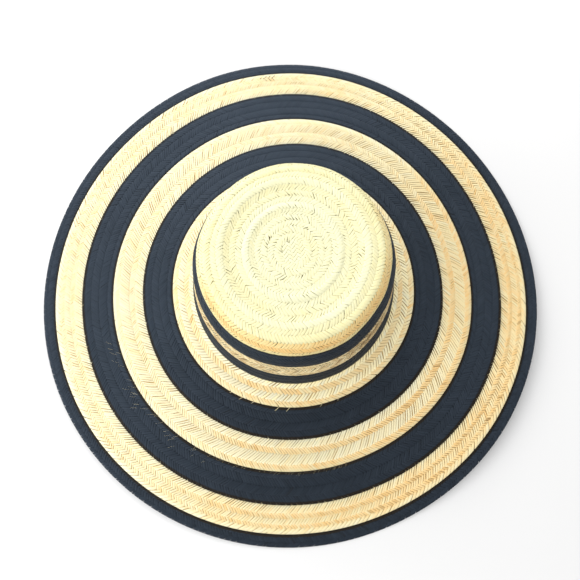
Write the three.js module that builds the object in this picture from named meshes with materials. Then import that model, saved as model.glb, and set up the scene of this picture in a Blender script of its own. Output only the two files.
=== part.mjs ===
// A wide-brimmed sun hat of hand-plaited palm straw, in natural and black rings.
//
// The crown's top is one round mat. Below it nine rings of flat plait are laid like shingles: the
// outer edge of each piece lies on top of the inner edge of the next one, which is tucked under it.
// Three rings make the crown's wall and six the brim. The brim droops and has three slack waves, and
// the hat stands on the three low places of its rim.
//
// Millimetres, +Z up. The origin is on the surface that the hat rests on, in the middle of the brim.
// The front of the hat faces -Y.

import * as THREE from "three";

// Driving sizes
const PLAIT_THICKNESS = 1.4;
const PLAIT_GAP = 0.3;
const OVERLAP = 4;
const HEAD_RADIUS = 94;
const BRIM_RADIUS = 240;
const CROWN_HEIGHT = 97;
const CROWN_BASE_HEIGHT = 29;
const RIM_LIP = 3;
const SEGMENTS = 60;

// How far a piece's middle surface lies above or below the hat's section where two pieces overlap
const STEP = (PLAIT_THICKNESS + PLAIT_GAP) / 2;

// The crown is slightly longer from front to back than across, leans back a little, and stands
// a little to the right of the brim's middle
const CROWN_OVAL = 0.007;
const CROWN_LEAN_BACK = 0.024;
const CROWN_SHIFT_RIGHT = 5;

// The brim's slack waves: how far the rim is above or below its mean height, by direction.
// Directions run anticlockwise from +X. The three lowest places carry the hat.
const WAVE_LOW = 4;
const REST_HALF_ANGLE = 3;
const RIM_WAVES = [
  { direction: 39, height: -WAVE_LOW },
  { direction: 93, height: 3 },
  { direction: 147, height: -WAVE_LOW },
  { direction: 213, height: 1 },
  { direction: 285, height: -WAVE_LOW },
  { direction: 333, height: 7.5 },
];

// Heights of the middle surface at the rim, so that its underside is at zero in the low places, and
// at the foot of the crown's top
const RIM_HEIGHT = WAVE_LOW + PLAIT_THICKNESS / 2 - STEP;
const TOP_RIDGE_HEIGHT = CROWN_BASE_HEIGHT + CROWN_HEIGHT - PLAIT_THICKNESS / 2 - STEP;
const TIP_SINK = 1.4;

const STRAW = {
  natural: { color: 0xe8cf95, roughness: 0.55, metalness: 0 },
  black: { color: 0x2b313b, roughness: 0.5, metalness: 0 },
};

// The hat's pieces from the middle of the crown's top to the rim, with the folds of each one's section.
// radius and height are those of a fold's outer end, bulge is how far its middle stands out from the
// straight line between its ends, and spans is the number of flats across it.
const PIECES = [
  {
    name: "crown_tip",
    straw: "natural",
    folds: [
      { radius: 33, height: TOP_RIDGE_HEIGHT - TIP_SINK, bulge: 0.1, spans: 1 },
      { radius: 40, height: TOP_RIDGE_HEIGHT - TIP_SINK + 0.2, bulge: 0.5, spans: 2 },
      { radius: 53, height: TOP_RIDGE_HEIGHT - 1, bulge: -0.2, spans: 1 },
      { radius: 64.5, height: TOP_RIDGE_HEIGHT - 0.5, bulge: 0.7, spans: 2 },
      { radius: 70.8, height: TOP_RIDGE_HEIGHT - 1.1, bulge: 0.45, spans: 2 },
      { radius: 77.6, height: 110.5, bulge: 1.2, spans: 2 },
    ],
  },
  {
    name: "crown_upper_black_row",
    straw: "black",
    folds: [{ radius: 83.2, height: 83.5, bulge: 0.3, spans: 1 }],
  },
  {
    name: "crown_natural_row",
    straw: "natural",
    folds: [{ radius: 88.2, height: 56, bulge: 0.2, spans: 1 }],
  },
  {
    name: "crown_lower_black_row",
    straw: "black",
    folds: [{ radius: HEAD_RADIUS, height: CROWN_BASE_HEIGHT, bulge: -0.2, spans: 1 }],
  },
  {
    name: "brim_inner_natural_row",
    straw: "natural",
    folds: [{ radius: 115.8, height: 18.4, bulge: -1.3, spans: 3 }],
  },
  {
    name: "brim_inner_black_row",
    straw: "black",
    folds: [{ radius: 145.5, height: 13.2, bulge: -0.3, spans: 1 }],
  },
  {
    name: "brim_middle_natural_row",
    straw: "natural",
    folds: [{ radius: 174, height: 10.2, bulge: 0.2, spans: 1 }],
  },
  {
    name: "brim_outer_black_row",
    straw: "black",
    folds: [{ radius: 203.7, height: 8, bulge: -0.2, spans: 1 }],
  },
  {
    name: "brim_outer_natural_row",
    straw: "natural",
    folds: [{ radius: 228.6, height: 5.8, bulge: -0.2, spans: 1 }],
  },
  {
    name: "brim_edge_row",
    straw: "black",
    folds: [{ radius: BRIM_RADIUS - RIM_LIP, height: RIM_HEIGHT, bulge: -0.2, spans: 1 }],
    lip: RIM_LIP,
  },
];

// A point on the circular arc from start to end whose middle stands out by bulge
function arcPoint({ start, end, bulge }, share) {
  const chord = end.clone().sub(start);
  const half = chord.length() / 2;
  const along = chord.clone().normalize();
  const outward = new THREE.Vector2(-along.y, along.x);
  const radius = (half * half + bulge * bulge) / (2 * bulge);
  const halfAngle = 2 * Math.atan(bulge / half);
  const angle = halfAngle * (2 * share - 1);
  return start
    .clone()
    .addScaledVector(along, half + radius * Math.sin(angle))
    .addScaledVector(outward, radius * Math.cos(angle) - (radius - bulge));
}

// The share of an arc that the overlap takes
function overlapShare({ start, end }) {
  return OVERLAP / start.distanceTo(end);
}

// The stations of one piece's section, each with its place on the hat's section and its offset from it.
// A piece starts under the one before it, rises across its visible width and ends on top of the next.
// before is the last arc of the piece that it starts under, and arcs are its own.
function pieceStations(before, arcs, lip) {
  const places = [arcs[0].start];
  arcs.forEach((arc, index) => {
    const isLast = index === arcs.length - 1;
    const reach = isLast && !lip ? 1 - overlapShare(arc) : 1;
    for (let i = 1; i <= arc.spans; i += 1) {
      places.push(arcPoint(arc, (reach * i) / arc.spans));
    }
  });
  const riseFrom = before ? -STEP : STEP;
  const stations = places.map((place, index) => ({
    place,
    offset: THREE.MathUtils.lerp(riseFrom, STEP, index / (places.length - 1)),
  }));
  if (before) {
    stations.unshift({ place: arcPoint(before, 1 - overlapShare(before)), offset: -STEP });
  }
  const edge = arcs[arcs.length - 1].end;
  stations.push({ place: new THREE.Vector2(edge.x + lip, edge.y), offset: STEP });
  return stations;
}

// The direction across the plait at a station, square to the section there. It is upright on the
// axis and on the rim's lip, so that the hat rests flat on the lip.
function acrossAt(stations, index, lip) {
  const onLip = lip > 0 && index >= stations.length - 2;
  if (onLip || stations[index].place.x === 0) {
    return new THREE.Vector2(0, 1);
  }
  const before = stations[Math.max(index - 1, 0)].place;
  const after = stations[Math.min(index + 1, stations.length - 1)].place;
  const along = after.clone().sub(before).normalize();
  return new THREE.Vector2(-along.y, along.x);
}

// The closed outline of one piece's section: out along its underside and back along its top
function pieceOutline(stations, lip) {
  const under = [];
  const top = [];
  stations.forEach(({ place, offset }, index) => {
    const across = acrossAt(stations, index, lip);
    under.push(place.clone().addScaledVector(across, offset - PLAIT_THICKNESS / 2));
    top.unshift(place.clone().addScaledVector(across, offset + PLAIT_THICKNESS / 2));
  });
  const outline = [...under, ...top];
  if (stations[0].place.x > 0) {
    outline.push(under[0].clone());
  }
  return outline;
}

// The rim's height above its mean in a direction, in degrees: level at the places of the table,
// with a smooth rise or fall between them
function rimWave(direction) {
  const past = (row) => THREE.MathUtils.euclideanModulo(direction - row.direction, 360);
  const from = RIM_WAVES.reduce((nearest, row) => (past(row) < past(nearest) ? row : nearest));
  const to = RIM_WAVES[(RIM_WAVES.indexOf(from) + 1) % RIM_WAVES.length];
  const width = THREE.MathUtils.euclideanModulo(to.direction - from.direction, 360);
  const level = REST_HALF_ANGLE / width;
  const share = THREE.MathUtils.clamp((past(from) / width - level) / (1 - 2 * level), 0, 1);
  return THREE.MathUtils.lerp(from.height, to.height, (1 - Math.cos(Math.PI * share)) / 2);
}

// Moves a turned piece's vertices to where the slack brim and the leaning crown put them
function relax(geometry) {
  const position = geometry.getAttribute("position");
  const flatBrim = BRIM_RADIUS - RIM_LIP - HEAD_RADIUS;
  for (let i = 0; i < position.count; i += 1) {
    const x = position.getX(i);
    const y = position.getY(i);
    const z = position.getZ(i);
    const out = THREE.MathUtils.clamp((Math.hypot(x, y) - HEAD_RADIUS) / flatBrim, 0, 1);
    const direction = THREE.MathUtils.radToDeg(Math.atan2(y, x));
    const wave = rimWave(direction) * Math.sin((out * Math.PI) / 2);
    const lean = CROWN_LEAN_BACK * Math.max(z - CROWN_BASE_HEIGHT, 0);
    const crown = 1 - out;
    position.setXYZ(
      i,
      x * (1 - CROWN_OVAL * crown) + CROWN_SHIFT_RIGHT * crown,
      y * (1 + CROWN_OVAL * crown) + lean,
      z + wave,
    );
  }
  geometry.computeVertexNormals();
}

// A piece turned round the axis and relaxed, as a mesh in its own straw
function makePiece({ name, straw, lip = 0 }, before, arcs) {
  const outline = pieceOutline(pieceStations(before, arcs, lip), lip);
  const geometry = new THREE.LatheGeometry(outline, SEGMENTS);
  geometry.rotateX(Math.PI / 2);
  relax(geometry);
  const mesh = new THREE.Mesh(geometry, new THREE.MeshStandardMaterial(STRAW[straw]));
  mesh.name = name;
  return mesh;
}

// The arcs of a piece's folds, the first one starting where the piece before ends
function pieceArcs(folds, from) {
  let start = from;
  return folds.map(({ radius, height, bulge, spans }) => {
    const end = new THREE.Vector2(radius, height);
    const arc = { start, end, bulge, spans };
    start = end;
    return arc;
  });
}

const hat = new THREE.Group();
let edge = new THREE.Vector2(0, TOP_RIDGE_HEIGHT - TIP_SINK);
let before = null;
for (const piece of PIECES) {
  const arcs = pieceArcs(piece.folds, edge);
  hat.add(makePiece(piece, before, arcs));
  before = arcs[arcs.length - 1];
  edge = before.end;
}

export default hat;
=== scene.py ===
import math

import bpy
import numpy as np
from mathutils import Matrix, Vector


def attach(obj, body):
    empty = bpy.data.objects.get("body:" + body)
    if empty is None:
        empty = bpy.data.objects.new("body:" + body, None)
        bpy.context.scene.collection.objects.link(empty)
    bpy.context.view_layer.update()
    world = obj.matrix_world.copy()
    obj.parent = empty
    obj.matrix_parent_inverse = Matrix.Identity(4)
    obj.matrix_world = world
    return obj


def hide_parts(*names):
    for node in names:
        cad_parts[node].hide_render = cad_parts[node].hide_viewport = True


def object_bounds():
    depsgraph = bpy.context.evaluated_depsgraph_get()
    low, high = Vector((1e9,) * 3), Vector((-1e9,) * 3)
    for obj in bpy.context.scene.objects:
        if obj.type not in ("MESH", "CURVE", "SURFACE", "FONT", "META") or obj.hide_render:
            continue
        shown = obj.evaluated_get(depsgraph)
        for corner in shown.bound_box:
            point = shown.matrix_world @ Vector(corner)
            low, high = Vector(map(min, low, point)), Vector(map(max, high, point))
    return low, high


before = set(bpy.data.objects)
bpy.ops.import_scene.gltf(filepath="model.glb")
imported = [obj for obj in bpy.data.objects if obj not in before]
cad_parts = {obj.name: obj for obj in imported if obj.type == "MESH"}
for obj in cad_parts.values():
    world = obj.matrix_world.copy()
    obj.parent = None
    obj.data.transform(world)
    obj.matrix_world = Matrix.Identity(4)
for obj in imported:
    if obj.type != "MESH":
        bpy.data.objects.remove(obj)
cad_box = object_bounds()

# The photograph's view
# From above and a little in front of the hat, with the lens and the place that fit the hat's rings in
# the square picture. The aim is a point in the foot of the crown, and the camera stands back from it.
PHOTO_WIDTH_PIXELS = 580
FOCAL_LENGTH_PIXELS = 560
SENSOR_WIDTH = 36
CAMERA_TILT = math.radians(11.703)
CAMERA_YAW = math.radians(-0.453)
CAMERA_STAND = (0.00189, -0.00868, 0.52745)
CROWN_FOOT_HEIGHT = 0.029

camera = bpy.data.objects.new("camera", bpy.data.cameras.new("camera"))
bpy.context.scene.collection.objects.link(camera)
camera.data.sensor_width = SENSOR_WIDTH
camera.data.lens = FOCAL_LENGTH_PIXELS / PHOTO_WIDTH_PIXELS * SENSOR_WIDTH
camera.data.clip_start = 0.02
camera.matrix_world = (
    Matrix.Translation((0, 0, CROWN_FOOT_HEIGHT))
    @ Matrix.Rotation(CAMERA_TILT, 4, "X")
    @ Matrix.Rotation(-CAMERA_YAW, 4, "Y")
    @ Matrix.Translation(CAMERA_STAND)
)
bpy.context.scene.camera = camera

# The crown's top
# A round mat of palm straw, plaited outwards from a small square start in herringbone ribs. Two soft
# ridges run round it, and its edge turns down over the first black ring of the wall.
SHEET_THICKNESS = 0.0014
SHEET_GAP = 0.0003
STEP = (SHEET_THICKNESS + SHEET_GAP) / 2
OVERLAP = 0.004
ARC_STEPS = 24
MARGIN_STEPS = 7


def arc_points(arc, shares):
    """The points at these shares of an arc, each as (radius, height).

    An arc is its start, its end, and how far its middle stands out from the line between them.
    """
    start, end, bulge = np.array(arc[0]), np.array(arc[1]), arc[2]
    chord = end - start
    half = np.hypot(*chord) / 2
    along = chord / (2 * half)
    outward = np.array([-along[1], along[0]])
    radius = (half * half + bulge * bulge) / (2 * bulge)
    angle = 2 * math.atan(bulge / half) * (2 * shares - 1)
    reach = half + radius * np.sin(angle)
    stand_out = radius * np.cos(angle) - (radius - bulge)
    return start + reach[:, None] * along + stand_out[:, None] * outward


def sheet_section(arcs, before=None):
    """The middle line of one plaited sheet, from its hidden inner margin to its outer edge.

    width is the distance from the sheet's visible inner edge, and full is the width of its outer
    edge. before is the last arc of the sheet whose edge lies on the margin: this sheet climbs from
    under that one to the top of the next.
    """
    shares = np.linspace(0, 1, ARC_STEPS + 1)
    points = [arc_points(arcs[0], shares)] + [arc_points(arc, shares[1:]) for arc in arcs[1:]]
    points = np.concatenate(points)
    width = np.concatenate([[0], np.cumsum(np.hypot(*np.diff(points, axis=0).T))])
    full = width[-1]
    if before:
        margin_share = OVERLAP / math.dist(before[0], before[1])
        margin = arc_points(before, np.linspace(1 - margin_share, 1, MARGIN_STEPS + 1)[:-1])
        points = np.concatenate([margin, points])
        width = np.concatenate([np.linspace(-OVERLAP, 0, MARGIN_STEPS + 1)[:-1], width])
    slope = np.gradient(points, width, axis=0)
    slope /= np.hypot(*slope.T)[:, None]
    normal = np.stack([-slope[:, 1], slope[:, 0]], 1)
    climb = np.clip(width / (full - OVERLAP), 0, 1) if before else np.ones(len(width))
    points = points + normal * ((2 * climb - 1) * STEP)[:, None]
    return {"width": width, "point": points, "normal": normal, "full": full}


# A table that goes round the hat holds pairs: a direction in degrees, anticlockwise from the hat's
# right, and the value there. A value stays level for some degrees and then goes smoothly to the next.
LEVEL_HALF_ANGLE = 3
RIM_WAVES = [(39, -0.004), (93, 0.003), (147, -0.004), (213, 0.001), (285, -0.004), (333, 0.0075)]
ROW_DRIFT = [
    (10, -0.001), (58, 0.0003), (122, -0.0023), (185, -0.0018), (232, 0), (282, -0.0012), (334, 0.0008),
]
CROWN_DRIFT = [
    (5, 0.0014), (32, 0.0007), (62, 0), (90, -0.0008), (125, -0.0015), (152, -0.0015), (180, -0.0002),
    (210, 0), (240, 0.0008), (270, 0.0007), (298, 0.001), (322, 0), (342, 0.0007),
]


def round_the_hat(table, direction):
    """The values of a table in these directions."""
    degrees = np.degrees(direction) % 360
    value = np.zeros_like(degrees)
    for i, (at, level) in enumerate(table):
        next_at, next_level = table[(i + 1) % len(table)]
        span = (next_at - at) % 360
        past = (degrees - at) % 360
        flat = LEVEL_HALF_ANGLE / span
        share = np.clip((past / span - flat) / (1 - 2 * flat), 0, 1)
        rise = level + (next_level - level) * (1 - np.cos(np.pi * share)) / 2
        value = np.where(past <= span, rise, value)
    return value


def level_at(level, direction):
    """A level in these directions: a table's values, or one number all round the hat."""
    if isinstance(level, list):
        return round_the_hat(level, direction)
    return np.full(len(direction), level)


HEAD_RADIUS = 0.094
BRIM_RADIUS = cad_box[1].x
RIM_LIP = 0.003
MAT_EDGE_RADIUS = 0.0772
CROWN_OVAL = 0.007
CROWN_LEAN_BACK = 0.024
CROWN_SHIFT_RIGHT = 0.005
DRIFT_HEIGHT = 0.08


def on_hat(section, direction, width, height):
    """Points of the relaxed hat, from directions round it, widths across a sheet and heights off it.

    The brim's rim rises and falls with RIM_WAVES, and its rows drift in and out by ROW_DRIFT. The
    crown's wall and shoulder stand out or in by CROWN_DRIFT, which grows from the crown's foot up to
    DRIFT_HEIGHT and fades towards the middle of the top.
    """
    reach = np.clip(width, section["width"][0], section["width"][-1])
    over = width - reach
    radius, level = (np.interp(reach, section["width"], section["point"][:, i]) for i in (0, 1))
    out, up = (np.interp(reach, section["width"], section["normal"][:, i]) for i in (0, 1))
    radius = radius + height * out + over * up
    level = level + height * up - over * out
    brim = np.clip((radius - HEAD_RADIUS) / (BRIM_RADIUS - RIM_LIP - HEAD_RADIUS), 0, 1)
    crown = 1 - brim
    radius = radius + round_the_hat(ROW_DRIFT, direction) * np.sqrt(np.sin(brim * np.pi))
    high = np.clip((level - CROWN_FOOT_HEIGHT) / DRIFT_HEIGHT, 0, 1) * (radius / MAT_EDGE_RADIUS) ** 2
    radius = radius + round_the_hat(CROWN_DRIFT, direction) * np.minimum(high, 1) * (brim == 0)
    x = radius * np.cos(direction) * (1 - CROWN_OVAL * crown) + CROWN_SHIFT_RIGHT * crown
    lean = CROWN_LEAN_BACK * np.maximum(level - CROWN_FOOT_HEIGHT, 0)
    y = radius * np.sin(direction) * (1 + CROWN_OVAL * crown) + lean
    wave = round_the_hat(RIM_WAVES, direction) * np.sin(brim * np.pi / 2)
    return np.stack([x, y, level + wave], -1)


# How the straws of a rib are laid, unless its sheet or the rib itself says something else. Cover, slits
# and fringe may also be tables round the hat.
PLAIN_WEAVE = {
    # From one straw to the next, along the rib
    "pitch": 0.0027,
    # How steeply the straws cross the rib
    "slope": math.radians(50),
    # How far a straw's middle stands above its long sides
    "crest": 0.00011,
    # How much of the pitch a straw covers, inside the sheet and where it curls over an edge
    "cover": 1.0,
    "curl_cover": 1.0,
    # How many straws have a slit beside them, and how much of the pitch it takes up, all along the
    # straw and more at one of its ends
    "slits": 0.1,
    "slit_size": (0.2, 0),
    # The directions in degrees of straws with a wide gap beside their inner end
    "gaps": (),
    # How much of the pitch is bare at the rib's inner side
    "fringe": 0,
    # How far the straws' tones differ
    "uneven": 0.05,
    # Whether the sheet's outer edge has the same tone as the rest, without the light or shade painted at
    # the other edges
    "open_edge": False,
}

# How much of the pitch a wide gap takes up, and how soon a fringe tapers off across its rib
GAP_SIZE = 0.5
FRINGE_TAPER = 1.3

# A rib's height in its middle and near its sides, and how near that is as a share of its width
RIB_TOP = 0.00047
RIB_FOOT = 0.00036
FOOT_SHARE = 0.14

# How far a straw goes under the next rib. At a sheet's edge it turns over past the edge instead, and
# its end is folded back underneath.
STRAW_TUCK = 0.0009
CURL_FOLD = 0.0004
CURL_REACH = 0.0009
CURL_BACK = 0.0008

# How far straws differ by chance: in place as a share of the pitch, in height, slope, cover and roll.
# Each takes its fibres from another of many places in their pattern.
PLACE_CHANCE = 0.04
HEIGHT_CHANCE = 0.00003
SLOPE_CHANCE = math.radians(1.5)
COVER_CHANCE = 0.03
ROLL_CHANCE = math.radians(2.5)
GRAIN_PLACES = 40

# The corners of a straw's cross-section, as shares of its width and of its crest
TOP_ACROSS = np.array([-0.5, -0.4, 0.4, 0.5])
TOP_CREST = np.array([0, 1, 1, 0])
UNDER_ACROSS = np.array([0.5, 0, -0.5])
UNDER_CREST = np.array([0, 1, 0])

# The wobble of the line between two ribs and of how many slits there are: how often each wave goes
# round the hat and how strong it is, and how far the waves turn from one width to another
WOBBLE_WAVES = [(3, 1.0), (7, 0.7), (16, 0.5)]
WOBBLE_TURN = 2900
RIB_WOBBLE = 0.0004
SLIT_WOBBLE = 0.9
SLIT_WOBBLE_TURN = 7


def wander(direction, width, size):
    """A slow, smooth wobble round the hat, which is another one at each width."""
    waves = [share * np.sin(n * direction + WOBBLE_TURN * width * n) for n, share in WOBBLE_WAVES]
    return size * sum(waves) / 2


def straw_stations(start, stop, under, curl_in, curl_out):
    """The stations of straws that cross a rib from its inner side, start, to its outer one, stop.

    Returns their widths, their heights, 1 where the straw lies square to the side and 0 where it
    slopes, and the numbers of the first and the last station inside the rib. A straw's end is tucked
    under the next rib, or it curls over the sheet's edge and back under it.
    """
    tucked = [(-STRAW_TUCK, 0, 0)]
    curled = [(CURL_BACK, -RIB_FOOT, 1), (-CURL_REACH, 0, 1), (-CURL_FOLD, RIB_FOOT, 1)]
    first = np.array(curled if curl_in else tucked)
    last = np.array(curled[::-1] if curl_out else tucked)
    inside = [] if curl_in else [(FOOT_SHARE, RIB_FOOT, 0)]
    inside += [] if under else [(0.5, RIB_TOP, 0)]
    inside += [] if curl_out else [(1 - FOOT_SHARE, RIB_FOOT, 0)]
    inside = np.array(inside)
    within = start + (stop - start) * inside[:, 0]
    width = np.concatenate([start + first[:, 0], within, stop - last[:, 0]], 1)
    _, height, square = np.concatenate([first, inside, last]).T
    return width, height, square, (len(first), len(first) + len(inside) - 1)


def straw_shares(chance, direction, inner, across_rib, square, inside, weave):
    """How much of the pitch each straw covers at each of its stations."""
    count, steps = across_rib.shape
    slits = level_at(weave["slits"], direction)
    slits = slits * (1 + wander(direction, SLIT_WOBBLE_TURN * inner, SLIT_WOBBLE))
    has_slit = chance.random(count) < slits
    slit_along, slit_at_end = weave["slit_size"]
    share = level_at(weave["cover"], direction) - slit_along * has_slit
    share = share + chance.normal(0, COVER_CHANCE, count)
    share = np.repeat(share[:, None], steps, axis=1)
    for degrees in weave["gaps"]:
        nearest = np.cos(direction - math.radians(degrees)).argmax()
        share[nearest, inside[0]] -= GAP_SIZE
    slit_end = np.array(inside)[chance.integers(0, 2, count)]
    share[np.arange(count), slit_end] -= slit_at_end * has_slit
    fringe = level_at(weave["fringe"], direction)[:, None]
    share -= fringe * np.clip(1 - FRINGE_TAPER * across_rib, 0, 1)
    return share + (weave["curl_cover"] - share) * square


# The distance in metres that stands for a point with no edge of the sheet near it
FAR_FROM_EDGE = 1


def straw_rib(section, chance, sides, ridge, lean, tone, weave, under=False, curl_in=False, curl_out=False):
    """The straws of one rib, all round the hat: the corners of each, station by station.

    sides are the widths of the rib's inner and outer side, and ridge their heights off the sheet's
    middle line. lean is 1 where the straws run outwards anticlockwise and -1 where they run outwards
    clockwise. Each straw is laid out flat first, along its own run, and then turned by its slope.
    """
    radius = np.interp(sum(sides) / 2, section["width"], section["point"][:, 0])
    count = round(2 * math.pi * radius / weave["pitch"])
    direction = (np.arange(count) + chance.normal(0, PLACE_CHANCE, count)) * (2 * math.pi / count)
    start = (sides[0] + wander(direction, sides[0], 0 if curl_in else RIB_WOBBLE))[:, None]
    stop = (sides[1] + wander(direction, sides[1], 0 if curl_out else RIB_WOBBLE))[:, None]
    width, height, square, inside = straw_stations(start, stop, under, curl_in, curl_out)
    across_rib = (width - start) / (stop - start)
    height = height + chance.normal(0, HEIGHT_CHANCE, count)[:, None]
    height = -height if under else height
    height = height + ridge[0] + (ridge[1] - ridge[0]) * np.clip(across_rib, 0, 1)
    slope = (weave["slope"] + chance.normal(0, SLOPE_CHANCE, count))[:, None]
    run = (width - (start + stop) / 2) / np.sin(slope)
    path_run, path_rise = np.gradient(run, axis=1), np.gradient(height, axis=1)
    length = np.hypot(path_run, path_rise)
    share = straw_shares(chance, direction, sides[0], across_rib, square, inside, weave)
    here = np.interp(width, section["width"], section["point"][:, 0])
    across = UNDER_ACROSS if under else TOP_ACROSS
    crest = (-UNDER_CREST if under else TOP_CREST) * weave["crest"]
    side = (2 * math.pi * here / count * share)[..., None] * across

    by_station = (slope, square, run, height, path_run, path_rise, length, start + stop)
    slope, square, run, height, path_run, path_rise, length, ends = (a[..., None] for a in by_station)
    roll = chance.normal(0, ROLL_CHANCE, count)[:, None, None]
    lift = crest + side * np.sin(slope) * roll
    along = run - lift * path_rise / length
    side_turn = side * (square + (1 - square) * np.sin(slope) ** 2)
    side_spread = -lean * side * (1 - square) * np.sin(slope) * np.cos(slope)
    place = ends / 2 + np.sin(slope) * along + side_spread
    turn = (lean * np.cos(slope) * along + side_turn) / radius
    points = on_hat(section, direction[:, None, None] + turn, place, height + lift * path_run / length)

    grain_across, grain_along = (chance.integers(0, GRAIN_PLACES, count)[:, None, None] for _ in range(2))
    grain = np.broadcast_arrays(across + 0.5 + grain_across, run / weave["pitch"] + grain_along)
    tones = np.clip(level_at(tone, direction) + chance.normal(0, weave["uneven"], count), 0, 1)
    from_inner = place - CURL_REACH if section["width"][0] < 0 else FAR_FROM_EDGE
    from_outer = FAR_FROM_EDGE if weave["open_edge"] else section["full"] + CURL_REACH - place
    border = np.minimum(from_inner, from_outer)
    return {"points": points, "grain": np.stack(grain, -1), "tone": tones, "border": border}


# Half of the core's thickness, how far it stops short of the sheet's edges, how far the shade of the
# edge above reaches over it, and its steps round the hat
CORE_HALF = 0.0001
CORE_INSET = 0.0004
CORE_SHADE = 0.006
CORE_STEPS = 180


def core_sheet(section, edges, heights, light):
    """The thin dark body of crossed straws that shows only in the slits between the straws on top.

    Its tone is 0 in the shade of the sheet's inner edge, and its light further out.
    """
    widths = np.sort(np.concatenate([edges, (edges[1:] + edges[:-1]) / 2]))
    widths = np.clip(widths, edges[0] + CORE_INSET, edges[-1] - CORE_INSET)
    middle = np.interp(widths, edges, heights)
    ring = np.concatenate([widths, widths[::-1]])
    height = np.concatenate([middle + CORE_HALF, (middle - CORE_HALF)[::-1]])
    direction = -np.linspace(0, 2 * math.pi, CORE_STEPS + 1)[:-1, None]
    points = on_hat(section, direction, ring[None], np.broadcast_to(height, (CORE_STEPS, len(height))))
    tone = np.clip(ring / CORE_SHADE, 0, 1) * level_at(light, direction[:, 0])[:, None]
    return points, tone


class SheetMesh:
    """Gathers the straws and the core of one sheet into one mesh."""

    def __init__(self):
        self.points, self.grain, self.tone, self.border = [], [], [], []
        self.loops, self.sizes, self.smooth, self.core = [], [], [], []
        self.count = 0

    def add_faces(self, corners, smooth, core):
        """Adds faces, a row of corners for each, which are numbered from the points added next."""
        self.loops.append((corners + self.count).ravel())
        self.sizes.append(np.full(len(corners), corners.shape[1]))
        self.smooth.append(np.broadcast_to(smooth, len(corners)))
        self.core.append(np.full(len(corners), core))

    def add_points(self, points, grain, tone, border):
        """Adds points, with their place in the grain, their tone and how far from an edge they are."""
        self.points.append(points.reshape(-1, 3))
        self.grain.append(grain.reshape(-1, 2))
        self.tone.append(np.broadcast_to(tone, points.shape[:-1]).ravel())
        self.border.append(np.broadcast_to(border, points.shape[:-1]).ravel())
        self.count += points.size // 3

    def add_straws(self, straws):
        """Adds straws, each a closed tube through its stations, with a smooth top and a flat back."""
        number, steps, corners, _ = straws["points"].shape
        index = np.arange(number * steps * corners).reshape(number, steps, corners)
        near, far = index[:, :-1], index[:, 1:]
        sides = np.stack([near, far, np.roll(far, -1, axis=2), np.roll(near, -1, axis=2)], -1)
        on_top = np.broadcast_to(np.arange(corners) < corners - 1, near.shape)
        self.add_faces(sides.reshape(-1, 4), on_top.ravel(), 0)
        self.add_faces(np.concatenate([index[:, 0], index[:, -1, ::-1]]), False, 0)
        self.add_points(straws["points"], straws["grain"], straws["tone"][:, None, None], straws["border"])

    def add_core(self, points, tone):
        """Adds the closed ring of the core."""
        index = np.arange(points.size // 3).reshape(points.shape[:2])
        turned = np.roll(index, -1, axis=0)
        sides = np.stack([index, turned, np.roll(turned, -1, axis=1), np.roll(index, -1, axis=1)], -1)
        self.add_faces(sides.reshape(-1, 4), True, 1)
        self.add_points(points, np.zeros((points.size // 3, 2)), tone, FAR_FROM_EDGE)

    def as_piece(self, name, straw, core):
        """Makes an object of all that was added, of these two materials."""
        mesh = bpy.data.meshes.new(name)
        points, loops = np.concatenate(self.points), np.concatenate(self.loops)
        sizes = np.concatenate(self.sizes)
        mesh.vertices.add(len(points))
        mesh.vertices.foreach_set("co", points.astype(np.float32).ravel())
        mesh.loops.add(len(loops))
        mesh.loops.foreach_set("vertex_index", loops.astype(np.int32))
        mesh.polygons.add(len(sizes))
        mesh.polygons.foreach_set("loop_start", (np.cumsum(sizes) - sizes).astype(np.int32))
        mesh.polygons.foreach_set("use_smooth", np.concatenate(self.smooth))
        mesh.polygons.foreach_set("material_index", np.concatenate(self.core).astype(np.int32))
        mesh.update(calc_edges=True)
        grain = mesh.uv_layers.new(name="grain")
        grain.uv.foreach_set("vector", np.concatenate(self.grain)[loops].astype(np.float32).ravel())
        for key, values in (("straw_tone", self.tone), ("from_border", self.border)):
            layer = mesh.attributes.new(key, "FLOAT", "POINT")
            layer.data.foreach_set("value", np.concatenate(values).astype(np.float32))
        mesh.materials.append(straw)
        mesh.materials.append(core)
        piece = bpy.data.objects.new(name, mesh)
        bpy.context.scene.collection.objects.link(piece)
        return piece


def node(tree, kind, inputs=None, **settings):
    """A shader node with these settings, whose inputs are set to a value or linked to an output."""
    made = tree.nodes.new(kind)
    for name, value in settings.items():
        setattr(made, name, value)
    for key, value in (inputs or {}).items():
        if isinstance(value, bpy.types.NodeSocket):
            tree.links.new(value, made.inputs[key])
        else:
            made.inputs[key].default_value = value
    return made


def attribute(tree, name):
    """The output of a node that reads one of the mesh's attributes."""
    return node(tree, "ShaderNodeAttribute", attribute_name=name).outputs["Fac"]


# The tones at which the colours of a straw stand, from the darkest to the palest
TONE_STOPS = (0.08, 0.25, 0.5, 0.75, 0.88)

# How much of the tone comes from the straw itself, from its fibres, from patches of the hat and from the
# light and shade painted at the sheet's edges. What the edges add fades out between two distances from
# them.
OWN_TONE = 0.7
FIBRE_TONE = 0.15
PATCH_TONE = 0.15
BORDER_TONE = 1
BORDER_START = 0.0019
BORDER_END = 0.0034
PATCH_SCALE = 38
FIBRE_SCALE = (9, 0.9, 1)
FIBRE_RELIEF = 0.00006


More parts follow.
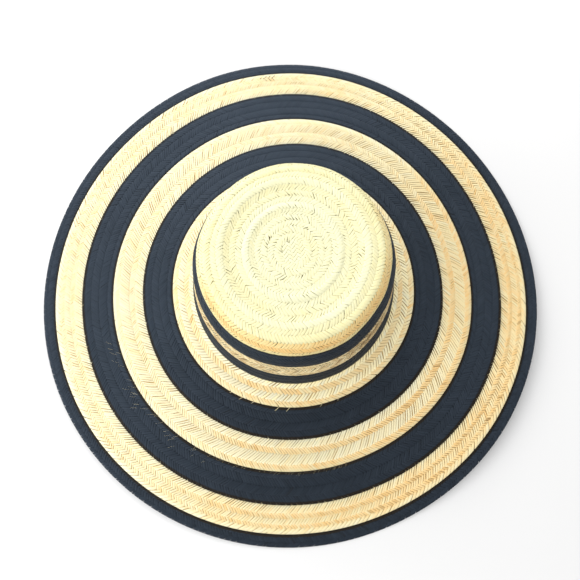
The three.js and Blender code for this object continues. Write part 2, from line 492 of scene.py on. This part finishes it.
def straw_finish(
    name, colours, border_shift=0.1, roughness=0.42, shine=0.35, brushed=0.4, glint=(1, 1, 1)
):
    """Split palm straw: a tone of its own for each straw, with fine fibres along it and a satin skin.

    colours go from the darkest to the palest, and border_shift changes the tone at a sheet's edges: below 0
    it paints a shadow line along them, and above 0 a paler edge of painted light.
    """
    material = bpy.data.materials.new(name)
    material.use_nodes = True
    tree = material.node_tree
    grain = node(tree, "ShaderNodeUVMap", uv_map="grain")
    stretched = node(tree, "ShaderNodeMapping", {"Vector": grain.outputs["UV"], "Scale": FIBRE_SCALE})
    fibre = node(tree, "ShaderNodeTexNoise", {
        "Vector": stretched.outputs["Vector"], "Scale": 1, "Detail": 3,
    })
    position = node(tree, "ShaderNodeTexCoord")
    patch = node(tree, "ShaderNodeTexNoise", {
        "Vector": position.outputs["Object"], "Scale": PATCH_SCALE, "Detail": 2,
    })
    border = node(tree, "ShaderNodeMapRange", {
        "Value": attribute(tree, "from_border"), "From Min": BORDER_START, "From Max": BORDER_END,
        "To Min": border_shift, "To Max": 0,
    })
    parts = [
        (attribute(tree, "straw_tone"), OWN_TONE),
        (fibre.outputs["Fac"], FIBRE_TONE),
        (patch.outputs["Fac"], PATCH_TONE),
        (border.outputs["Result"], BORDER_TONE),
    ]
    total = 0
    for source, weight in parts:
        add = node(tree, "ShaderNodeMath", {0: source, 1: weight, 2: total}, operation="MULTIPLY_ADD")
        total = add.outputs["Value"]
    ramp = node(tree, "ShaderNodeValToRGB", {"Fac": total})
    stops = ramp.color_ramp.elements
    for tone, colour in zip(TONE_STOPS, colours):
        stops.new(tone).color = (*colour, 1)
    stops.remove(stops[0])
    stops.remove(stops[-1])
    relief = node(tree, "ShaderNodeBump", {
        "Height": fibre.outputs["Fac"], "Strength": 0.5, "Distance": FIBRE_RELIEF,
    })
    across = node(tree, "ShaderNodeTangent", direction_type="UV_MAP", uv_map="grain")
    shader = tree.nodes["Principled BSDF"]
    tree.links.new(ramp.outputs["Color"], shader.inputs["Base Color"])
    tree.links.new(relief.outputs["Normal"], shader.inputs["Normal"])
    tree.links.new(across.outputs["Tangent"], shader.inputs["Tangent"])
    shader.inputs["Roughness"].default_value = roughness
    shader.inputs["Specular IOR Level"].default_value = shine
    shader.inputs["Specular Tint"].default_value = (*glint, 1)
    shader.inputs["Anisotropic"].default_value = brushed
    return material


def core_finish(name, colour, shaded):
    """The inside of the plait, seen through the slits, and darker in the shade of the edge above it."""
    material = bpy.data.materials.new(name)
    material.use_nodes = True
    tree = material.node_tree
    mix = node(tree, "ShaderNodeMix", {
        "Factor": attribute(tree, "straw_tone"), "A": (*shaded, 1), "B": (*colour, 1),
    }, data_type="RGBA")
    shader = tree.nodes["Principled BSDF"]
    tree.links.new(mix.outputs["Result"], shader.inputs["Base Color"])
    shader.inputs["Roughness"].default_value = 0.8
    return material


CROWN_CORE_COLOUR = (0.16, 0.13, 0.05)
CROWN_MATERIALS = {
    "straw": straw_finish(
        "crown_straw",
        [(0.78, 0.47, 0.16), (0.79, 0.55, 0.22), (0.775, 0.705, 0.37), (0.755, 0.745, 0.505)],
    ),
    "core": core_finish("crown_core", CROWN_CORE_COLOUR, CROWN_CORE_COLOUR),
    "core_light": 1,
}
UNDER_STOP = 0.0018


def make_rib(width, tone, rise=0, **own):
    """A rib for plaited_sheet, with what its own weave has other than its sheet's.

    width is in any unit that the ribs of a sheet share, tone is a number or a table round the hat,
    and rise is the height of the rib's outer side off the sheet.
    """
    return {"width": width, "tone": tone, "rise": rise, "own": own}


def plaited_sheet(name, section, ribs, materials, weave, seed, start=None, loose=()):
    """One sheet of plait: ribs of straws on top and underneath, on a dark core.

    From rib to rib the straws lean one way and the other in turn. On top they curl over the sheet's
    edges, and underneath they stop short of them. Ribs that begin at start instead of the sheet's
    inner edge don't curl there. loose holds straws that lie on the sheet.
    """
    chance = np.random.default_rng(seed)
    sheet = SheetMesh()
    inner = section["width"][0] if start is None else start
    shown_from = max(inner, 0)
    edges = np.cumsum([0] + [rib["width"] for rib in ribs])
    edges = shown_from + edges / edges[-1] * (section["full"] - shown_from)
    edges[0] = inner
    heights = np.array([0] + [rib["rise"] for rib in ribs])
    under_weave = {**PLAIN_WEAVE, "pitch": weave["pitch"]}
    for number, rib in enumerate(ribs):
        lean = -1 if number % 2 == 0 else 1
        curl_in = number == 0 and start is None
        curl_out = number == len(ribs) - 1
        sides, ridge = edges[number:number + 2], heights[number:number + 2]
        own_weave = {**weave, **rib["own"]}
        sheet.add_straws(straw_rib(
            section, chance, sides, ridge, lean, rib["tone"], own_weave, curl_in=curl_in, curl_out=curl_out
        ))
        sides = sides[0] + UNDER_STOP * curl_in, sides[1] - UNDER_STOP * curl_out
        sheet.add_straws(straw_rib(
            section, chance, sides, ridge, -lean, rib["tone"], under_weave, under=True
        ))
    for straws in loose:
        sheet.add_straws(straws)
    sheet.add_core(*core_sheet(section, edges, heights, materials["core_light"]))
    return sheet.as_piece(name, materials["straw"], materials["core"])


# The start's radius, and how many straws lie on each side of its middle
START_RADIUS = 0.0125
START_HALF = 5
START_PITCH = 0.0024
START_COVER = 0.97
START_SINK = 0.00012
START_TONE = 0.8
START_TURN = math.radians(-34)

# The stations of a straw in the mat's start, in pitches along it and in heights of a rib's foot
START_STATIONS = [(-1.3, 0), (-0.85, 0.9), (0, 1.1), (0.85, 0.9), (1.3, 0)]


def square_start(section, chance):
    """The woven start of the mat, where straws cross each other in a small square.

    Each straw goes over two others and under the next two, so that its crossings on top are four
    places apart.
    """
    centres, upright = [], []
    for i in range(-START_HALF, START_HALF + 1):
        for j in range(-START_HALF, START_HALF + 1):
            if (i + j) % 4 == 0:
                centres += [(i, j + 0.5), (j + 2.5, i)]
                upright += [True, False]
    centres, upright = np.array(centres) * START_PITCH, np.array(upright)
    near = np.hypot(*centres.T) < START_RADIUS
    centres, upright = centres[near, :, None, None], upright[near, None, None]
    made = []
    for under in (False, True):
        across = (UNDER_ACROSS if under else TOP_ACROSS) * START_PITCH * START_COVER
        crest = (-UNDER_CREST if under else TOP_CREST) * PLAIN_WEAVE["crest"]
        stations = np.array(START_STATIONS) * [START_PITCH, -RIB_FOOT if under else RIB_FOOT]
        shape = (len(centres), len(stations), len(across))
        along, side = np.broadcast_to(stations[:, :1], shape), np.broadcast_to(across, shape)
        height = np.broadcast_to(stations[:, 1:] + crest - START_SINK, shape)
        turned = upright != under
        x = centres[:, 0] + np.where(turned, side, along)
        y = centres[:, 1] + np.where(turned, along, -side)
        cos_turn, sin_turn = math.cos(START_TURN), math.sin(START_TURN)
        x, y = x * cos_turn - y * sin_turn, x * sin_turn + y * cos_turn
        points = on_hat(section, np.arctan2(y, x), np.hypot(x, y), height)
        grain = np.stack([side / START_PITCH + 0.5, along / START_PITCH], -1)
        tones = START_TONE + chance.normal(0, PLAIN_WEAVE["uneven"], len(centres))
        tones = np.clip(tones, 0, 1)
        made.append({"points": points, "grain": grain, "tone": tones, "border": FAR_FROM_EDGE})
    return made


# The mat's section, from its middle over the two ridges to the edge that turns down
CROWN_HEIGHT = 0.097
TOP_HEIGHT = CROWN_FOOT_HEIGHT + CROWN_HEIGHT - SHEET_THICKNESS / 2 - STEP
TOP_SINK = 0.0014
MAT_EDGE_HEIGHT = 0.1105
mat_places = [
    (0, TOP_HEIGHT - TOP_SINK),
    (0.033, TOP_HEIGHT - TOP_SINK),
    (0.040, TOP_HEIGHT - TOP_SINK + 0.0002),
    (0.053, TOP_HEIGHT - 0.001),
    (0.0645, TOP_HEIGHT - 0.0005),
    (0.0708, TOP_HEIGHT - 0.0011),
    (MAT_EDGE_RADIUS, MAT_EDGE_HEIGHT),
]
MAT_BULGES = [0.0001, 0.0013, -0.0002, 0.0014, 0.00045, 0.0012]
mat_arcs = list(zip(mat_places, mat_places[1:], MAT_BULGES))
mat_section = sheet_section(mat_arcs)

# The mat's flat ribs outwards from its start, with their tones, slits and wide gaps. The paler tones of
# the ribs on the two ridges are painted highlights, and the darker ones in the hollow between the ridges
# and on the outer ridge's far slope are painted shade.
MAT_RIB_WIDTH = 5.2
MAT_RIBS_START = 0.0095
FLAT_RIBS = [
    (0.76, 0.03, ()),
    (0.76, 0.15, ()),
    (0.76, 0.3, (54, 60, 143, 150, 158, 320, 325)),
    (0.76, 0.25, (88, 95, 102, 246)),
    (0.76, 0.15, ()),
    (0.85, 0.03, ()),
    (0.76, 0.2, ()),
    (0.68, 0.4, ()),
    (0.68, 0.3, ()),
    (0.8, 0.03, ()),
    (0.66, 0.03, ()),
]
mat_ribs = [
    make_rib(MAT_RIB_WIDTH, tone, cover=1.08, slits=slits, gaps=gaps) for tone, slits, gaps in FLAT_RIBS
]

# The ribs of its shoulder, with painted shade: their tones are darker and more orange at the front and
# the right, away from the lamps
SHOULDER = [(10, 0.4), (60, 0.62), (120, 0.66), (186, 0.62), (214, 0.3), (265, 0.22), (330, 0.2)]
SHOULDER_LOW = [(10, 0.35), (60, 0.6), (120, 0.62), (186, 0.55), (214, 0.15), (265, 0.06), (330, 0.08)]
SHOULDER_EDGE = [(10, 0.4), (60, 0.6), (120, 0.62), (186, 0.6), (214, 0.4), (265, 0.3), (330, 0.3)]
mat_ribs += [
    make_rib(MAT_RIB_WIDTH, 0.62, cover=1.05, slits=0.02),
    make_rib(4.6, SHOULDER, cover=1.0, slits=0.2),
    make_rib(5, SHOULDER_LOW, cover=0.97, slits=0.15),
    make_rib(5, SHOULDER_EDGE, cover=0.97, slits=0.2),
]
MAT_WEAVE = {**PLAIN_WEAVE, "uneven": 0.03, "slit_size": (0, 0.42)}
crown_top = plaited_sheet(
    "crown_top", mat_section, mat_ribs, CROWN_MATERIALS, MAT_WEAVE, 1, start=MAT_RIBS_START,
    loose=square_start(mat_section, np.random.default_rng(11)),
)
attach(crown_top, "root")
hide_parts("crown_tip")

# The crown's wall
# Three rings of plait, each tucked under the one above it: black, natural and black. The black straw is
# dyed before it is plaited.
# The black sheets' edges get a painted shadow line, a band of their darkest, brown colour.
BLACK_MATERIALS = {
    "slot": "black_straw",
    "straw": straw_finish(
        "black_straw",
        [(0.013, 0.008, 0.003), (0.011, 0.0155, 0.023), (0.019, 0.0265, 0.038), (0.028, 0.038, 0.054)],
        border_shift=-0.5, roughness=0.6, shine=0.2, brushed=0.2, glint=(0.78, 0.9, 1),
    ),
    "core": core_finish("black_core", (0.010, 0.013, 0.018), (0.006, 0.005, 0.004)),
    "core_light": 1,
}
WALL_MATERIALS = {
    "slot": "natural_straw",
    "straw": straw_finish(
        "wall_straw",
        [(0.30, 0.17, 0.07), (0.48, 0.32, 0.15), (0.73, 0.57, 0.30), (0.84, 0.73, 0.46)],
        roughness=0.45,
    ),
    "core": core_finish("wall_core", (0.11, 0.075, 0.035), (0.07, 0.05, 0.025)),
    "core_light": 1,
}

# The bulge of an arc that is as good as straight
STRAIGHT = 0.00001


def add_ring(before, node_name, end, bulge, ribs, materials, weave, seed, lip=0, loose=()):
    """Makes one ring of plait from the end of the arc before it, and returns the arc that it follows.

    end is the radius and the height of its outer edge, and lip is how far a flat edge stands out past
    that. loose is a list with what loose_ends needs for each group of straws that lie on the ring.
    """
    arc = (before[1], end, bulge)
    arcs = [arc, (end, (end[0] + lip, end[1]), STRAIGHT)] if lip else [arc]
    section = sheet_section(arcs, before)
    loose = [loose_ends(section, **group) for group in loose]
    ring = plaited_sheet(node_name + "_plait", section, ribs, materials, weave, seed, loose=loose)
    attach(ring, "root")
    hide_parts(node_name)
    return arc


BLACK_WEAVE = {**PLAIN_WEAVE, "curl_cover": 0.9}
# The black rings' tones round the hat are a painted sheen and shade: paler at the back, towards the lamps,
# and darker at the front.
BLACK_TONES = [(10, 0.5), (100, 0.8), (180, 0.62), (290, 0.25)]
BLACK_RIBS = [make_rib(1, BLACK_TONES, cover=1.05, slits=0.03)] * 4
WALL_WEAVE = {**PLAIN_WEAVE, "uneven": 0.2, "crest": 0.0002, "slit_size": (0.3, 0), "curl_cover": 0.85}
WALL_RIDGE = 0.0005
# The natural wall ring's tones round the hat paint shade: they are darker at the right and front right,
# away from the lamps, where narrower straws also let more of the dark core show.
WALL_TONES = [
    (20, 0.55), (60, 0.72), (130, 0.72), (200, 0.56), (240, 0.55), (285, 0.58), (320, 0.4), (350, 0.4),
]
WALL_COVER = [(20, 0.85), (60, 0.93), (130, 0.93), (200, 0.86), (285, 0.85), (320, 0.72), (350, 0.72)]
WALL_RIBS = [make_rib(1, WALL_TONES, rise, cover=WALL_COVER, slits=0.4) for rise in (WALL_RIDGE, 0) * 2]

arc = add_ring(
    mat_arcs[-1], "crown_upper_black_row", (0.0832, 0.0835), 0.0026, BLACK_RIBS, BLACK_MATERIALS,
    BLACK_WEAVE, 2,
)
arc = add_ring(arc, "crown_natural_row", (0.0882, 0.056), 0.0002, WALL_RIBS, WALL_MATERIALS, WALL_WEAVE, 3)
arc = add_ring(
    arc, "crown_lower_black_row", (HEAD_RADIUS, CROWN_FOOT_HEIGHT), -0.0002, BLACK_RIBS, BLACK_MATERIALS,
    BLACK_WEAVE, 4,
)

# The brim
# Five wide rings of plait, natural and black in turn, each tucked under the one inside it. The natural
# rings have open slits, a few straws have come loose, and a small stain is near the rim at the back.
NATURAL_MATERIALS = {
    "slot": "natural_straw",
    "straw": straw_finish(
        "natural_straw",
        [
            (0.17, 0.10, 0.04), (0.81, 0.54, 0.22), (0.81, 0.685, 0.39), (0.785, 0.74, 0.525),
            (0.93, 0.81, 0.47),
        ],
    ),
    "core": core_finish("natural_core", (0.60, 0.40, 0.15), (0.11, 0.06, 0.02)),
    "core_light": [(15, 0.75), (60, 0.8), (120, 1), (215, 1), (285, 1), (335, 0.75)],
}
NATURAL_WEAVE = {
    **PLAIN_WEAVE, "uneven": 0.07, "crest": 0.0002, "slit_size": (0.28, 0), "curl_cover": 0.95,
}

# Straws that have come loose climb outwards with the row that they lie on
LOOSE_SLOPE = math.radians(52)
LOOSE_CREST = 0.4
LOOSE_UNEVEN = 0.1
ROW_CLIMB = 0.055
UNDER_THE_EDGE = -0.0007

# The stations of a loose straw: how far along it, how much of its width is left, and its height
LOOSE_STATIONS = np.array([(0, 1, 0.0004), (0.4, 1, 0.0003), (0.7, 0.8, 0.0001), (1, 0.3, 0)])


def loose_ends(section, chance, places, half_width, tone, lift=UNDER_THE_EDGE, lean=-1):
    """Straws that stick out from under a row's outer edge, or lie loose on that row or the next one.

    places has a row for each end: its direction in degrees, and how far past the edge it starts and
    how long it is, in millimetres. lift is its height at the edge, and lean is as in straw_rib.
    """
    angle, gap, length = np.array(places).T[:, :, None, None]
    steps, taper, height = LOOSE_STATIONS.T[:, None, :, None]
    across = 2 * TOP_ACROSS * taper * half_width
    along = (gap + steps * length) / 1000
    sine, cosine = math.sin(LOOSE_SLOPE), math.cos(LOOSE_SLOPE)
    level = lift + height + ROW_CLIMB * along + TOP_CREST * LOOSE_CREST * half_width
    width = section["full"] + sine * along - lean * cosine * across
    turn = (lean * cosine * along + sine * across) / section["point"][-1, 0]
    points = on_hat(section, np.radians(angle) + turn, width, level)
    grain = np.stack(np.broadcast_arrays(TOP_ACROSS + 0.5 + angle, along / PLAIN_WEAVE["pitch"]), -1)
    tones = tone + chance.normal(0, LOOSE_UNEVEN, len(places))
    return {"points": points, "grain": grain, "tone": tones, "border": FAR_FROM_EDGE}


def scattered_places(chance, directions, share, jitter, gap, length):
    """Places for loose_ends: a share of these directions, with gaps and lengths from these ranges."""
    return [
        (at + chance.normal(0, jitter), chance.uniform(*gap), chance.uniform(*length))
        for at in directions
        if chance.random() < share
    ]


CUT_ENDS = {
    "chance": np.random.default_rng(21), "half_width": 0.00018, "tone": 1.0,
    "places": [
        (241.5, -1, 4.4), (247.0, -1, 6.2), (252.5, -1, 5.4), (264.3, -1, 7.8), (269.2, -1, 7.2),
        (284.0, -1, 5.2), (292.0, -1, 4.4),
    ],
}
# Thin pale strands on the outer black ring at the front and front left, just out from under the middle
# natural ring's edge or further past it
pale_strand_chance = np.random.default_rng(23)
pale_strand_places = scattered_places(
    pale_strand_chance, np.arange(200, 250, 0.8), share=0.5, jitter=0.4, gap=(0.5, 14), length=(4, 8)
)
pale_strand_places += scattered_places(
    pale_strand_chance, np.arange(246, 288, 0.9), share=0.8, jitter=0.3, gap=(-0.5, 1.5), length=(3, 5)
)
PALE_STRANDS = {
    "chance": np.random.default_rng(22), "half_width": 0.00003, "tone": 0.7, "lift": -0.00045,
    "places": pale_strand_places,
}

# The stain is made of thin dark strokes that lie on the row: short dashes, and longer streaks that
# come from further in and lean the other way
STAIN_LIFT = 0.0016
stain_chance = np.random.default_rng(24)
STAIN_DASHES = {
    "chance": stain_chance, "half_width": 0.00045, "tone": -0.4, "lift": STAIN_LIFT,
    "places": [
        (96.9, -5.7, 2.0), (96.0, -6.2, 2.2), (95.7, -4.3, 2.2), (94.7, -4.4, 2.4), (93.7, -6.6, 2.2),
        (93.5, -4.4, 2.2),
    ],
}
STAIN_STREAKS = {
    "chance": stain_chance, "half_width": 0.0003, "tone": -0.1, "lift": STAIN_LIFT, "lean": 1,
    "places": [(97.6, -9.7, 3.7), (96.5, -10, 5.7), (95.5, -9.6, 3.8)],
}

# Tones of the natural rings round the hat, which paint light and shade: of the ribs that stand up and of
# the shady ones between them, whose lower tones are partly their own colour and partly painted shade. The
# shady ribs are darker at the front and the right, and the middle and outer rings' raised ribs at the
# right, away from the lamps; the inner ring's raised ribs are painted paler at the front and the right,
# against the crown's shadow.
INNER_PALE = [(20, 1), (60, 0.75), (120, 0.6), (220, 0.7), (262, 0.9), (305, 1), (345, 1)]
INNER_SHADY = [(20, 0.4), (60, 0.6), (225, 0.4), (262, 0.3), (305, 0.34), (345, 0.4)]
MIDDLE_PALE = [(20, 0.5), (60, 0.58), (120, 0.62), (220, 0.68), (262, 0.68), (305, 0.65), (345, 0.5)]
MIDDLE_SHADY = [(20, 0.3), (60, 0.6), (225, 0.58), (262, 0.34), (305, 0.22), (345, 0.26)]
OUTER_PALE = [(20, 0.4), (60, 0.5), (120, 0.6), (220, 0.62), (262, 0.48), (305, 0.42), (345, 0.39)]
OUTER_SHADY = [(20, 0.28), (60, 0.55), (225, 0.55), (262, 0.3), (305, 0.22), (345, 0.24)]

# Covers, slits and fringes of the natural rings, which are most open at the hat's right
EDGE_COVER = [(15, 0.95), (60, 0.93), (120, 0.97), (215, 0.97), (290, 0.98), (340, 0.96)]
RAISED_COVER = [(15, 0.94), (60, 0.92), (120, 0.96), (215, 0.96), (290, 0.97), (340, 0.95)]
OUTER_COVER = [(15, 0.91), (60, 0.91), (120, 0.96), (215, 0.96), (262, 0.94), (290, 0.93), (340, 0.91)]
FEW_SLITS = [(15, 0.22), (60, 0.14), (120, 0.08), (215, 0.08), (290, 0.1), (340, 0.2)]
MANY_SLITS = [(15, 0.55), (60, 0.3), (120, 0.06), (215, 0.08), (290, 0.15), (340, 0.5)]
FRINGE = [(15, 0.35), (60, 0.4), (120, 0.35), (215, 0.25), (275, 0.2), (335, 0.3)]

# How far the ribs that stand up are above the rest
RIDGE = 0.0009
LOW_RIDGE = 0.6 * RIDGE

inner_ribs = [
    make_rib(6, INNER_PALE, RIDGE, cover=EDGE_COVER, slits=FEW_SLITS, fringe=FRINGE),
    make_rib(5.5, INNER_SHADY, cover=0.97, slits=0.1),
    make_rib(6, INNER_PALE, RIDGE, cover=0.98, slits=MANY_SLITS),
    make_rib(4.5, INNER_SHADY, cover=1.0, slits=0.03),
]
arc = add_ring(
    arc, "brim_inner_natural_row", (0.1158, 0.0184), -0.0013, inner_ribs, NATURAL_MATERIALS,
    {**NATURAL_WEAVE, "pitch": 0.0033}, 5, loose=[CUT_ENDS],
)
arc = add_ring(
    arc, "brim_inner_black_row", (0.1455, 0.0132), -0.0003, BLACK_RIBS, BLACK_MATERIALS, BLACK_WEAVE, 6
)
middle_ribs = [
    make_rib(8.5, MIDDLE_PALE, RIDGE, cover=EDGE_COVER, slits=FEW_SLITS, fringe=FRINGE),
    make_rib(5, MIDDLE_SHADY, cover=0.95, slits=0.1),
    make_rib(9.5, MIDDLE_PALE, RIDGE, cover=RAISED_COVER, slits=FEW_SLITS),
    make_rib(5.5, MIDDLE_SHADY, cover=0.98, slits=0.05),
]
arc = add_ring(
    arc, "brim_middle_natural_row", (0.174, 0.0102), 0.0002, middle_ribs, NATURAL_MATERIALS,
    NATURAL_WEAVE, 7, loose=[PALE_STRANDS],
)
arc = add_ring(
    arc, "brim_outer_black_row", (0.2037, 0.008), -0.0002, BLACK_RIBS, BLACK_MATERIALS, BLACK_WEAVE, 8
)

# The outer natural ring ends in a selvage of wide straws that lie flatter
SELVAGE_PITCH = 0.00435
SELVAGE_SLOPE = math.radians(38)
outer_ribs = [
    make_rib(8.3, OUTER_PALE, RIDGE, cover=OUTER_COVER, slits=FEW_SLITS, fringe=FRINGE),
    make_rib(4, OUTER_SHADY, cover=0.93, slits=0.1),
    make_rib(5, OUTER_PALE, LOW_RIDGE, cover=OUTER_COVER, slits=FEW_SLITS),
    make_rib(3.5, OUTER_SHADY, cover=0.93, slits=0.1),
    make_rib(
        4.1, OUTER_PALE, cover=1.0, slits=0.05, pitch=SELVAGE_PITCH, slope=SELVAGE_SLOPE, curl_cover=0.94
    ),
]
arc = add_ring(
    arc, "brim_outer_natural_row", (0.2286, 0.0058), -0.0002, outer_ribs, NATURAL_MATERIALS,
    NATURAL_WEAVE, 9, loose=[STAIN_DASHES, STAIN_STREAKS],
)

# The rim
# A narrow ring of black plait, tucked under the last wide one. Its flat lip is the edge of the brim,
# and the hat rests on the lip's three lowest places.
RIM_HEIGHT = SHEET_THICKNESS / 2 - STEP - min(wave for _, wave in RIM_WAVES)
rim_ribs = [
    make_rib(4.3, BLACK_TONES, cover=1.05, slits=0.03),
    make_rib(4, BLACK_TONES, cover=1.05, slits=0.03),
    make_rib(3, BLACK_TONES, cover=1.08, slits=0, open_edge=True),
]
add_ring(
    arc, "brim_edge_row", (BRIM_RADIUS - RIM_LIP, RIM_HEIGHT), -0.0002, rim_ribs, BLACK_MATERIALS,
    {**BLACK_WEAVE, "uneven": 0.07, "curl_cover": 0.92}, 10, lip=RIM_LIP,
)

# The studio
# A pale floor under the hat, three big soft lamps behind it and at its left, and an even white
# surround give the soft, bright light of the photograph.
FLOOR_HALF = 20
FLOOR_COLOUR = (0.74, 0.74, 0.74, 1)
floor_mesh = bpy.data.meshes.new("floor")
corners = [(x * FLOOR_HALF, y * FLOOR_HALF, 0) for x, y in ((-1, -1), (1, -1), (1, 1), (-1, 1))]
floor_mesh.from_pydata(corners, [], [(0, 1, 2, 3)])
floor = bpy.data.objects.new("floor", floor_mesh)
bpy.context.scene.collection.objects.link(floor)
floor_finish = bpy.data.materials.new("floor_white")
floor_finish.use_nodes = True
floor_shader = floor_finish.node_tree.nodes["Principled BSDF"]
floor_shader.inputs["Base Color"].default_value = FLOOR_COLOUR
floor_shader.inputs["Roughness"].default_value = 0.9
floor_mesh.materials.append(floor_finish)

# Each lamp's direction from the hat in degrees and its power in watts
LAMPS = {"back_lamp": (90, 5.4), "back_left_lamp": (130, 4.2), "left_lamp": (210, 7.9)}
LAMP_SIZE = 1.0
LAMP_DISTANCE = 1.1
LAMP_HEIGHT = math.radians(30)
for name, (degrees, power) in LAMPS.items():
    direction = math.radians(degrees)
    lamp = bpy.data.objects.new(name, bpy.data.lights.new(name, "AREA"))
    bpy.context.scene.collection.objects.link(lamp)
    lamp.data.shape = "DISK"
    lamp.data.size = LAMP_SIZE
    lamp.data.energy = power
    out, up = LAMP_DISTANCE * math.cos(LAMP_HEIGHT), LAMP_DISTANCE * math.sin(LAMP_HEIGHT)
    place = Vector((out * math.cos(direction), out * math.sin(direction), up))
    lamp.matrix_world = Matrix.Translation(place) @ place.to_track_quat("Z", "Y").to_matrix().to_4x4()
surround = bpy.data.worlds.new("surround")
surround.use_nodes = True
surround.node_tree.nodes["Background"].inputs["Color"].default_value = (1, 1, 1, 1)
surround.node_tree.nodes["Background"].inputs["Strength"].default_value = 0.9
bpy.context.scene.world = surround
bpy.context.scene.view_settings.view_transform = "Standard"
